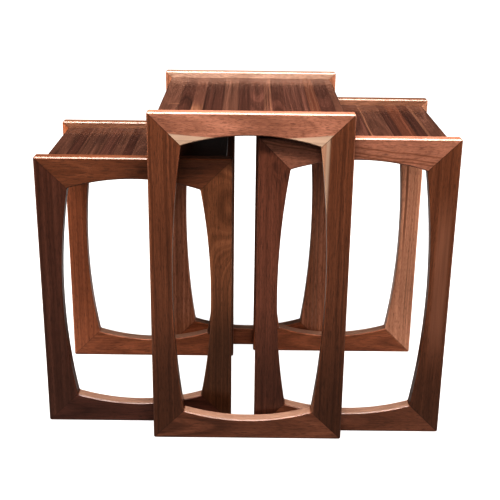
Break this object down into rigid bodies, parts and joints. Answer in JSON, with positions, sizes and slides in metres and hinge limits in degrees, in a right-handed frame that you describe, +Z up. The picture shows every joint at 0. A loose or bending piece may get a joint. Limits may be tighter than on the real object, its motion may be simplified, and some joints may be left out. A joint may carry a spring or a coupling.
{
  "type": "nesting tables",
  "caption": "Nest of walnut side tables with closed, mitred end frames bowed on the inside and stave tops set between them; the smaller tables slide in under the larger.",
  "frame": {"origin": "on the floor, at the centre of the footprint of the set with the tables pulled apart", "axes": "+X across the end frames, from the small table to the medium one; +Y from the front frames to the back ones; +Z up"},
  "size_m": [0.67, 0.386, 0.556],
  "materials": {
    "walnut_frame": "satin oiled walnut, long grain along each board",
    "walnut_light_stave": "satin oiled walnut, light stave",
    "walnut_mid_stave": "satin oiled walnut, mid stave",
    "walnut_dark_stave": "satin oiled walnut, dark stave",
    "beech_spline": "plain sawn beech, hidden in the joints"
  },
  "bodies": {
    "large_table": {"large_back_bottom_rail": "walnut_frame", "large_back_left_leg": "walnut_frame", "large_back_right_leg": "walnut_frame", "large_back_top_rail": "walnut_frame", "large_front_bottom_rail": "walnut_frame", "large_front_left_leg": "walnut_frame", "large_front_right_leg": "walnut_frame", "large_front_top_rail": "walnut_frame", "large_splines": "beech_spline", "large_top_stave_01": "walnut_mid_stave", "large_top_stave_02": "walnut_dark_stave", "large_top_stave_03": "walnut_light_stave", "large_top_stave_04": "walnut_dark_stave", "large_top_stave_05": "walnut_mid_stave", "large_top_stave_06": "walnut_dark_stave", "large_top_stave_07": "walnut_mid_stave", "large_top_stave_08": "walnut_dark_stave", "large_top_stave_09": "walnut_mid_stave", "large_top_stave_10": "walnut_mid_stave", "large_top_stave_11": "walnut_light_stave", "large_top_stave_12": "walnut_dark_stave", "large_top_stave_13": "walnut_mid_stave"},
    "medium_table": {"medium_back_bottom_rail": "walnut_frame", "medium_back_left_leg": "walnut_frame", "medium_back_right_leg": "walnut_frame", "medium_back_top_rail": "walnut_frame", "medium_front_bottom_rail": "walnut_frame", "medium_front_left_leg": "walnut_frame", "medium_front_right_leg": "walnut_frame", "medium_front_top_rail": "walnut_frame", "medium_splines": "beech_spline", "medium_top_stave_01": "walnut_mid_stave", "medium_top_stave_02": "walnut_light_stave", "medium_top_stave_03": "walnut_mid_stave", "medium_top_stave_04": "walnut_mid_stave", "medium_top_stave_05": "walnut_dark_stave", "medium_top_stave_06": "walnut_mid_stave", "medium_top_stave_07": "walnut_dark_stave", "medium_top_stave_08": "walnut_light_stave", "medium_top_stave_09": "walnut_dark_stave", "medium_top_stave_10": "walnut_mid_stave"},
    "small_table": {"small_back_bottom_rail": "walnut_frame", "small_back_left_leg": "walnut_frame", "small_back_right_leg": "walnut_frame", "small_back_top_rail": "walnut_frame", "small_front_bottom_rail": "walnut_frame", "small_front_left_leg": "walnut_frame", "small_front_right_leg": "walnut_frame", "small_front_top_rail": "walnut_frame", "small_splines": "beech_spline", "small_top_stave_01": "walnut_mid_stave", "small_top_stave_02": "walnut_dark_stave", "small_top_stave_03": "walnut_mid_stave", "small_top_stave_04": "walnut_mid_stave", "small_top_stave_05": "walnut_light_stave", "small_top_stave_06": "walnut_dark_stave", "small_top_stave_07": "walnut_mid_stave", "small_top_stave_08": "walnut_light_stave", "small_top_stave_09": "walnut_dark_stave", "small_top_stave_10": "walnut_mid_stave"}
  },
  "joints": [
    {"name": "medium_slide", "type": "slide", "parent": "large_table", "child": "medium_table", "axis": [1, 0, 0], "range_m": [-0.169, 0.196]},
    {"name": "small_slide", "type": "slide", "parent": "large_table", "child": "small_table", "axis": [-1, 0, 0], "range_m": [-0.186, 0.179]}
  ]
}
